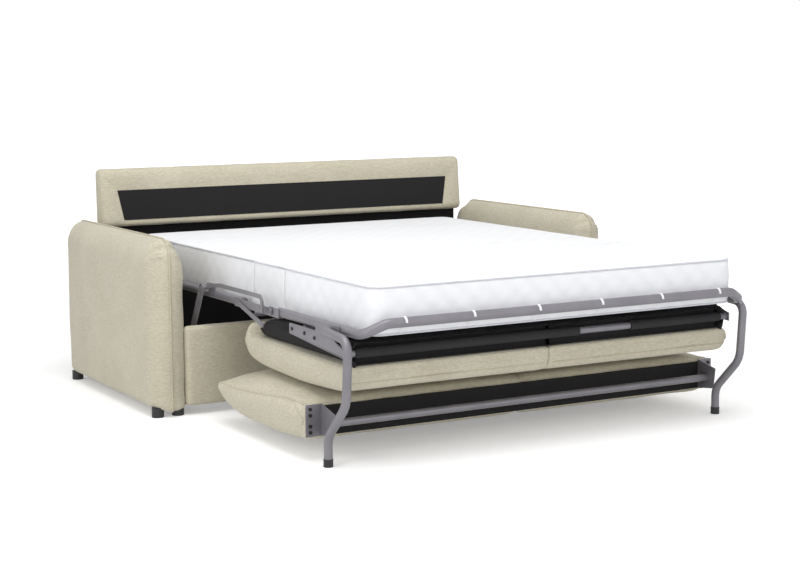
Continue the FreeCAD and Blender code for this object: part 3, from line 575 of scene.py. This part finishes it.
def back_front(x, z):
    """Y of the back's face: upright up to LEAN_FROM and leaning back above it, and outside the
    inset it swells towards the front by a sine of the distance from the inset's edge."""
    base = BACK_LOW[1] + LEAN * np.maximum(z - LEAN_FROM, 0)
    half = INSET_LOW_HALF + (INSET_HIGH_HALF - INSET_LOW_HALF) * np.clip(
        (z - INSET_LOW[2]) / (INSET_HIGH[2] - INSET_LOW[2]), 0, 1)
    outside = np.maximum.reduce([np.abs(x) - half, z - INSET_HIGH[2], INSET_LOW[2] - z])
    return base - BACK_SWELL * np.sin(np.clip(outside / BACK_SWELL_REACH, 0, 1) * pi / 2)


points, faces = soft_box(BACK_LOW, BACK_HIGH, BACK_ROUND)
front_share = np.clip((BACK_HIGH[1] - points[:, 1]) / (BACK_HIGH[1] - BACK_LOW[1]), 0, 1)
points[:, 1] += (back_front(points[:, 0], points[:, 2]) - BACK_LOW[1]) * front_share
waves = ripple(points, size=0.18, height=1.6 * MM, seed=31)
points += waves[:, None] * np.array([0, 0.6, 0.6])      # not along X, where the arms are near
cover = new_object("outer_back_cover", points, faces)
dress(cover, "carcass", BEIGE, ("outer_back",))
for side, sign in SIDES:
    share = np.linspace(0, 1, MITRE_STEPS)
    x = INSET_HIGH_HALF + (BACK_HIGH[0] - MITRE_END_X - INSET_HIGH_HALF) * share
    z = INSET_HIGH[2] + (BACK_HIGH[2] - MITRE_END_Z - INSET_HIGH[2]) * share
    roll = np.clip((share - MITRE_ROLL_FROM) / (1 - MITRE_ROLL_FROM), 0, 1) ** 2
    seam = points_at(sign * x, back_front(x, z) + MITRE_ROLL * roll, z)
    seam_cord = tube_along(f"back_seam_{side}", seam, radius=1.4 * MM)
    dress(seam_cord, "carcass", PIPING)


# Front rail in the arms' cloth
RAIL_END = 0.849         # it reaches the arms' inner panels
low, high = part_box("front_rail")
points, faces = soft_box((-RAIL_END, low.y, low.z), (RAIL_END, high.y, high.z), radius=0.012,
                         spacing=0.014)
waves = ripple(points, size=0.14, height=1.0 * MM, seed=41)
points += waves[:, None] * np.array([0, 1, 0])
cover = new_object("front_rail_cover", points, faces)
dress(cover, "carcass", BEIGE, ("front_rail",))


# Mattress: four seamless lengths with piped edges and a quilted border
MATTRESS_LOW, MATTRESS_HIGH = (np.array(corner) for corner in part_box("mattress_foot"))
MATTRESS_HALF = 0.700
BED_BOTTOM, BED_TOP = MATTRESS_LOW[2] + 0.5 * MM, MATTRESS_HIGH[2] - 1 * MM
BED_SPACING = (0.012, 0.012, 0.009)
CORNER, EDGE = 0.044, 0.014     # radii of a free end's plan corners and of the long edges
CORNER_STEPS = 10
JOINED = 9.0             # stands for the distance to an end that meets the next length
WALL = 0.004             # depth within which a point belongs to the border
BORDER_SWELL, BORDER_PUFF, BORDER_CELL = 4 * MM, 2.2 * MM, 0.070
END_WALL = 0.7           # a border that faces X less than this runs across the bed's end
CROWN, CROWN_REACH = 3 * MM, 0.25
BED_WAVE, BED_WAVE_SIZE, BED_WAVE_REACH = 3 * MM, 0.30, 0.05
TAPE, TAPE_INSET = 3.4 * MM, 0.006
# Each length with its body, whether its foot and head ends are free, the joint that flattens it
# and the share of its thickness that is left then
LENGTHS = (("mattress_foot", "foot_section", True, False, "foot_fold", 0.55),
           ("mattress_middle", "mid_section", False, False, "mid_fold", 0.30),
           ("mattress_head", "head_section", False, False, "mid_fold", 0.55),
           ("mattress_head_end", "head_end", False, True, "head_end_curl", 0.30))


def bed_skin(y0, y1, foot_end, head_end):
    """A length of mattress from a cube's skin: plan corners go round at free ends, long edges go
    round by the edge radius, and the border swells with puffs between crossed stitch lines."""
    low, high = np.array([-MATTRESS_HALF, y0, BED_BOTTOM]), np.array([MATTRESS_HALF, y1, BED_TOP])
    counts = np.maximum(6, np.ceil((high - low) / np.array(BED_SPACING))).astype(int)
    skin, faces = cube_skin(counts)
    place = (skin + 1) / 2 * (high - low) + low
    x, y, z = place.T
    to_side = MATTRESS_HALF - np.abs(x)
    to_foot = y - y0 if foot_end else np.full(len(y), JOINED)
    to_head = y1 - y if head_end else np.full(len(y), JOINED)
    distance = np.minimum.reduce([to_side, to_foot, to_head])

    # Plan corners
    near_side, near_foot, near_head = (np.clip((CORNER - gap) / CORNER, 0, 1)
                                       for gap in (to_side, to_foot, to_head))
    away_x, away_y = near_side * np.sign(x), near_head - near_foot
    length = np.maximum(np.hypot(away_x, away_y), TINY)
    scale = np.maximum(np.abs(away_x), np.abs(away_y)) / length
    normal = np.stack([away_x, away_y], -1) / length[:, None]
    shaped = place.copy()
    shaped[:, 0] += away_x * (scale - 1) * CORNER
    shaped[:, 1] += away_y * (scale - 1) * CORNER

    # Edges along the top and the bottom
    to_face = np.minimum(z - BED_BOTTOM, BED_TOP - z)
    upper = z > (BED_BOTTOM + BED_TOP) / 2
    a, b = np.clip(1 - distance / EDGE, 0, 1), np.clip(1 - to_face / EDGE, 0, 1)
    draw = np.maximum(a, b) / np.maximum(np.hypot(a, b), TINY)
    both = (a > 0) & (b > 0)
    shaped[:, :2] -= normal * np.where(both, a * (1 - draw) * EDGE, 0)[:, None]
    shaped[:, 2] -= np.where(upper, 1, -1) * np.where(both, b * (1 - draw) * EDGE, 0)

    # Quilted border, then the crowned top
    wall = np.clip(1 - distance / WALL, 0, 1)
    rise = (z - BED_BOTTOM) / (BED_TOP - BED_BOTTOM)
    along = np.where(np.abs(normal[:, 0]) > END_WALL, shaped[:, 1], shaped[:, 0])
    cell = (np.abs(np.sin(pi * (along + z) / BORDER_CELL))
            * np.abs(np.sin(pi * (along - z) / BORDER_CELL)))
    puff = (BORDER_SWELL * (1 - (2 * rise - 1) ** 2)
            + BORDER_PUFF * cell ** 0.5 * np.sin(pi * rise) ** 0.5)
    shaped[:, :2] += normal * (wall * puff)[:, None]
    crown = CROWN * quarter(np.minimum(distance, CROWN_REACH), CROWN_REACH)
    waves = ripple(place * np.array([1, 1, 0]), BED_WAVE_SIZE, BED_WAVE, seed=51)
    waves = waves * np.clip(distance / BED_WAVE_REACH, 0, 1)
    shaped[:, 2] += np.where((to_face < NEAR) & upper, crown + waves, 0)
    return shaped, faces


def bed_border(y0, y1, foot_end, head_end):
    """Lines along a length's sides in plan, each as its X and its Y: one round its free end,
    whose corners are quarter circles, or one on either side."""
    if not foot_end and not head_end:
        return [(sign * MATTRESS_HALF, np.array([y0, y1])) for sign in (-1, 1)]
    joined, centre, way = (y1, y0 + CORNER, -1) if foot_end else (y0, y1 - CORNER, 1)
    turn = np.linspace(0, pi / 2, CORNER_STEPS)
    x = np.concatenate([[MATTRESS_HALF], MATTRESS_HALF - CORNER + CORNER * np.cos(turn)])
    y = np.concatenate([[joined], centre + way * CORNER * np.sin(turn)])
    return [(np.concatenate([x, -x[::-1]]), np.concatenate([y, y[::-1]]))]


for name, body, foot_end, head_end, joint, keep in LENGTHS:
    low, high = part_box(name)
    cover = new_object(name + "_cover", *bed_skin(low.y, high.y, foot_end, head_end))
    dress(cover, body, TICKING, (name,))
    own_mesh(cover)
    for level, z in (("low", BED_BOTTOM + TAPE_INSET), ("top", BED_TOP - TAPE_INSET)):
        for index, (x, y) in enumerate(bed_border(low.y, high.y, foot_end, head_end)):
            line = points_at(x, y, z)
            tape = tube_along(f"{name}_tape_{level}_{index}", line, TAPE, sides=8)
            dress(tape, body, PIPED_WHITE)
            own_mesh(tape)


# Cushions: a closed side outline carried across X, drawn in towards its ends
RING_COUNT = 64
CLOSING_COUNT = 9        # rings that close an end
SPOT_COUNT, SPOT_REACH = 60, 2.4      # places along an end's outline, and reach in their spacings
CUSHION_WAVE_SIZE = 0.15
PLEAT_CENTRE = 0.02      # the pleats' fan starts this far outside the cushion's low-Y end
PLEAT_LENGTH, PLEAT_WIDTH = 0.10, 0.12          # how far they run along Y and along X
PLEATS_ALONG, PLEAT_SLIDE = 9, 0.5    # waves in a full turn of the fan, and their share along Y
PLEATS_OUT, PLEAT_TURN, PLEAT_SINK = 14, 0.6, 0.6       # and along X, their start and how deep


def half_way(outline):
    """Places along an outline's length, and the heights half way up it and its depths there,
    between the highest and the lowest point near each place."""
    spots = np.linspace(outline[:, 0].min(), outline[:, 0].max(), SPOT_COUNT)
    reach = (spots[1] - spots[0]) * SPOT_REACH
    near = np.abs(outline[None, :, 0] - spots[:, None]) <= reach
    top = np.array([outline[mask, 1].max() for mask in near])
    low = np.array([outline[mask, 1].min() for mask in near])
    return spots, (top + low) / 2, top - low


def cushion(name, outline, span, sign, section, seed, waves, bulge=0.016, pleats=0.0):
    """A loft of closed outlines: section(outline, share) gives the outline at a share of the
    span, which runs from the inner end to the outer one. Each end closes on its half-way line;
    the outer one bulges by a quarter ellipse, and pleats fan out over it from the low-Y end."""
    x_inner, x_outer = span
    shares = (1 - np.cos(np.linspace(0, pi, RING_COUNT))) / 2
    rings = [(x_inner + (x_outer - x_inner) * share, section(outline, share)) for share in shares]
    closing = np.cos(np.linspace(0, pi / 2, CLOSING_COUNT))[1:]
    for (x, end), swell in ((rings[0], 0.0), (rings[-1], bulge)):
        spots, heights, depths = half_way(end)
        level = np.interp(end[:, 0], spots, heights)
        full = np.clip(np.interp(end[:, 0], spots, depths) / depths.max(), 0, 1)
        steps = [(x + swell * full * sqrt(1 - k * k),
                  np.column_stack([end[:, 0], level + (end[:, 1] - level) * k])) for k in closing]
        rings = rings + steps if swell else steps[::-1] + rings
    grid = np.array([points_at(sign * x, *ring.T) for x, ring in rings])
    away = grid - grid.mean(axis=1, keepdims=True)
    away = away / np.maximum(np.linalg.norm(away, axis=2, keepdims=True), NEAR)
    uneven = ripple(grid.reshape(-1, 3), CUSHION_WAVE_SIZE, waves, seed)
    grid = grid + away * uneven.reshape(grid.shape[:2])[..., None]
    from_end = grid[..., 1] - outline[:, 0].min()
    fan = np.arctan2(grid[..., 2] - outline[:, 1].mean(), from_end + PLEAT_CENTRE)
    fade = (np.exp(-(from_end / PLEAT_LENGTH) ** 2)
            * np.clip((np.abs(grid[..., 0]) - x_outer + PLEAT_WIDTH) / PLEAT_WIDTH, 0, 1))
    grid[..., 1] += pleats * fade * np.sin(PLEATS_ALONG * fan) * PLEAT_SLIDE
    grid[..., 0] += sign * pleats * fade * (np.sin(PLEATS_OUT * fan + PLEAT_TURN) - PLEAT_SINK)
    faces = grid_faces(len(rings), len(outline), ring=True)
    return new_object(name, grid.reshape(-1, 3), faces if sign < 0 else faces[:, ::-1])


def inward(outline):
    """Unit normals of a closed outline that point into it: its tangents, turned by a quarter
    turn towards the side that the sign of its area gives."""
    way = np.roll(outline, -1, 0) - np.roll(outline, 1, 0)
    way /= np.maximum(np.linalg.norm(way, axis=1), TINY)[:, None]
    area = np.sum(outline[:, 0] * np.roll(outline[:, 1], -1)
                  - np.roll(outline[:, 0], -1) * outline[:, 1])
    return np.stack([-way[:, 1], way[:, 0]], -1) * np.sign(area)


# Seat cushions, upside down under the tray, with a welt on the seam of their foot end
SEAT_POINTS = ((-1.018, 0.300), (-1.008, 0.258), (-0.965, 0.238), (-0.80, 0.227), (-0.62, 0.225),
               (-0.42, 0.231), (-0.32, 0.245), (-0.284, 0.272), (-0.279, 0.318), (-0.286, 0.350),
               (-0.301, 0.368), (-0.317, 0.358), (-0.326, 0.336), (-0.350, 0.3245),
               (-0.50, 0.3235), (-0.70, 0.3235), (-0.90, 0.3235), (-1.004, 0.3225))
SEAT_SPAN = (0.001, 0.738)
SEAT_ROUND, SEAT_ROUND_SHARE = 0.006, 0.03
SEAM_Z, SEAM_DENT, SEAM_WIDTH = 0.268, 3 * MM, 0.007
WELT_SPAN, WELT_Y, WELT_STEPS = (0.02, 0.735), -1.0115, 40


def seat_section(outline, share):
    """The outline drawn in at either end along a quarter ellipse, and dented by a bell curve at
    the height of the horizontal seam."""
    swell = quarter(min(share, 1 - share), SEAT_ROUND_SHARE)
    dent = SEAM_DENT * np.exp(-((outline[:, 1] - SEAM_Z) / SEAM_WIDTH) ** 2)
    return outline + inward(outline) * (SEAT_ROUND * (1 - swell) + dent)[:, None]


seat_outline = closed_curve(SEAT_POINTS, count=170)
for index, (side, sign) in enumerate(SIDES):
    cover = cushion(f"seat_cover_{side}", seat_outline, SEAT_SPAN, sign, seat_section,
                    seed=61 + index, waves=3 * MM)
    dress(cover, "foot_section", BEIGE, (f"seat_cushion_{side}",))
    line = points_at(sign * np.linspace(*WELT_SPAN, WELT_STEPS), WELT_Y + FRONT, SEAM_Z)
    welt = tube_along(f"seat_edge_{side}", line, radius=1.6 * MM, sides=8)
    dress(welt, "foot_section", PIPING)


# Seat tray: webbing and black lining over the frame, its sofa end drawn up in a curve
TRAY_POINTS = ((-0.996, 0.331), (-0.990, 0.3262), (-0.70, 0.3262), (-0.40, 0.3262),
               (-0.352, 0.329), (-0.336, 0.343), (-0.342, 0.362), (-0.372, 0.380),
               (-0.43, 0.3885), (-0.70, 0.3885), (-0.985, 0.3885), (-0.996, 0.384))
TRAY_SPAN = (0, 0.716)
TRAY_ROUND, TRAY_ROUND_SHARE = 0.010, 0.02


def tray_section(outline, share):
    """The outline drawn in at the outer end along a quarter ellipse."""
    return outline + inward(outline) * TRAY_ROUND * (1 - quarter(1 - share, TRAY_ROUND_SHARE))


tray_outline = closed_curve(TRAY_POINTS, count=120)
for index, (side, sign) in enumerate(SIDES):
    cover = cushion(f"tray_cover_{side}", tray_outline, TRAY_SPAN, sign, tray_section,
                    seed=81 + index, waves=1.2 * MM)
    dress(cover, "foot_section", BLACK_LINING, ("seat_tray",) if index == 0 else ())


# Seat channels: rolled edges and rivet heads on the outer faces
CHANNEL_EDGES = (((-0.640, 0.409), (-0.928, 0.409), (-0.962, 0.388), (-1.018, 0.372)),
                 ((-0.640, 0.379), (-0.830, 0.363), (-1.018, 0.348)))
RIVETS = ((-0.652, 0.394), (-0.742, 0.392), (-0.812, 0.386))
ROLL, RIVET = 2.2 * MM, 6 * MM
RIVET_SUNK, RIVET_STAND = 1 * MM, 2.6 * MM
for side, sign in SIDES:
    low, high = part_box(f"channel_{side}")
    face = max(abs(low.x), abs(high.x))
    for index, edge in enumerate(CHANNEL_EDGES):
        y, z = np.array(edge).T
        line = points_at(sign * face, y + FRONT, z)
        roll = tube_along(f"channel_roll_{side}_{index}", line, ROLL, sides=8)
        dress(roll, "foot_section", STEEL)
    for index, (y, z) in enumerate(RIVETS):
        x = sign * np.array([face - RIVET_SUNK, face + RIVET_STAND])
        line = points_at(x, y + FRONT, z)
        rivet = tube_along(f"channel_rivet_{side}_{index}", line, RIVET, sides=18)
        dress(rivet, "foot_section", DARK_STEEL)


# Back cushions: boxed below a piped seam that runs round the outer end and the tip
BACK_POINTS = ((-0.8435, 0.080), (-0.76, 0.058), (-0.62, 0.049), (-0.46, 0.049), (-0.32, 0.057),
               (-0.225, 0.082), (-0.179, 0.122), (-0.172, 0.146), (-0.182, 0.161),
               (-0.25, 0.190), (-0.36, 0.210), (-0.50, 0.217), (-0.65, 0.213), (-0.77, 0.202),
               (-0.8435, 0.186))
# The seam's heights along Y, where the upper and the lower face meet
SEAM_LINE_Y = (-0.857, -0.698, -0.507, -0.304, -0.172)
SEAM_LINE_Z = (0.184, 0.180, 0.160, 0.144, 0.146)
CUSHION_SPAN = (0.001, 0.800)
UPPER_REACH, LOWER_REACH, INNER_END_REACH = 0.22, 0.06, 0.05    # shares of the span
LOWER_LEFT, INNER_UPPER_LEFT, INNER_LOWER_LEFT = 0.84, 0.45, 0.80   # height kept at an end
PIPED_SIDE, SIDE_STEPS = (-0.840, -0.172), 50   # places along Y on the seam's outer end
PIPED_TIP, TIP_STEPS = (0.79, 0.01), 40         # and along X on its tip
TIP_Y, TIP_Z = -0.1715, 0.146
WRAP_X, WRAP_Y, WRAP_Z = (0.762, 0.8135), (-0.8574, -0.838), (0.077, 0.184)


def seam_height(y):
    """Height of the seam round a back cushion, on straight runs between its points."""
    return np.interp(y - FRONT, SEAM_LINE_Y, SEAM_LINE_Z)


def back_section(outline, share):
    """Towards the outer end the upper face slopes down to the seam, and the lower one turns in
    along a short round, so that a tall boxed side is left below the seam."""
    if share > 0.5:
        upper = quarter(1 - share, UPPER_REACH)
        lower = LOWER_LEFT + (1 - LOWER_LEFT) * quarter(1 - share, LOWER_REACH)
    else:
        swell = quarter(share, INNER_END_REACH)
        upper = INNER_UPPER_LEFT + (1 - INNER_UPPER_LEFT) * swell
        lower = INNER_LOWER_LEFT + (1 - INNER_LOWER_LEFT) * swell
    seam = seam_height(outline[:, 0])
    above = outline[:, 1] > seam
    drawn = seam + (outline[:, 1] - seam) * np.where(above, upper, lower)
    return np.column_stack([outline[:, 0], drawn])


back_outline = closed_curve(BACK_POINTS, count=170)
for index, (side, sign) in enumerate(SIDES):
    cover = cushion(f"back_cover_{side}", back_outline, CUSHION_SPAN, sign, back_section,
                    seed=71 + index, waves=5 * MM, bulge=0.022, pleats=5 * MM)
    dress(cover, "back_rest", BEIGE, (f"back_cushion_{side}",))
    y = np.linspace(*PIPED_SIDE, SIDE_STEPS) + FRONT
    round_side = points_at(sign * CUSHION_SPAN[1], y, seam_height(y))
    round_tip = points_at(sign * np.linspace(*PIPED_TIP, TIP_STEPS), TIP_Y + FRONT, TIP_Z)
    piping = tube_along(f"back_piping_{side}", np.vstack([round_side, round_tip]),
                        radius=2.4 * MM, sides=8)
    dress(piping, "back_rest", PIPING)
    x_low, x_high = sorted(sign * x for x in WRAP_X)
    wrap = soft_box((x_low, WRAP_Y[0] + FRONT, WRAP_Z[0]), (x_high, WRAP_Y[1] + FRONT, WRAP_Z[1]),
                    radius=0.006, spacing=0.006)
    dress(new_object(f"board_wrap_{side}", *wrap), "back_rest", BEIGE)

bpy.context.scene.view_settings.view_transform = "Standard"
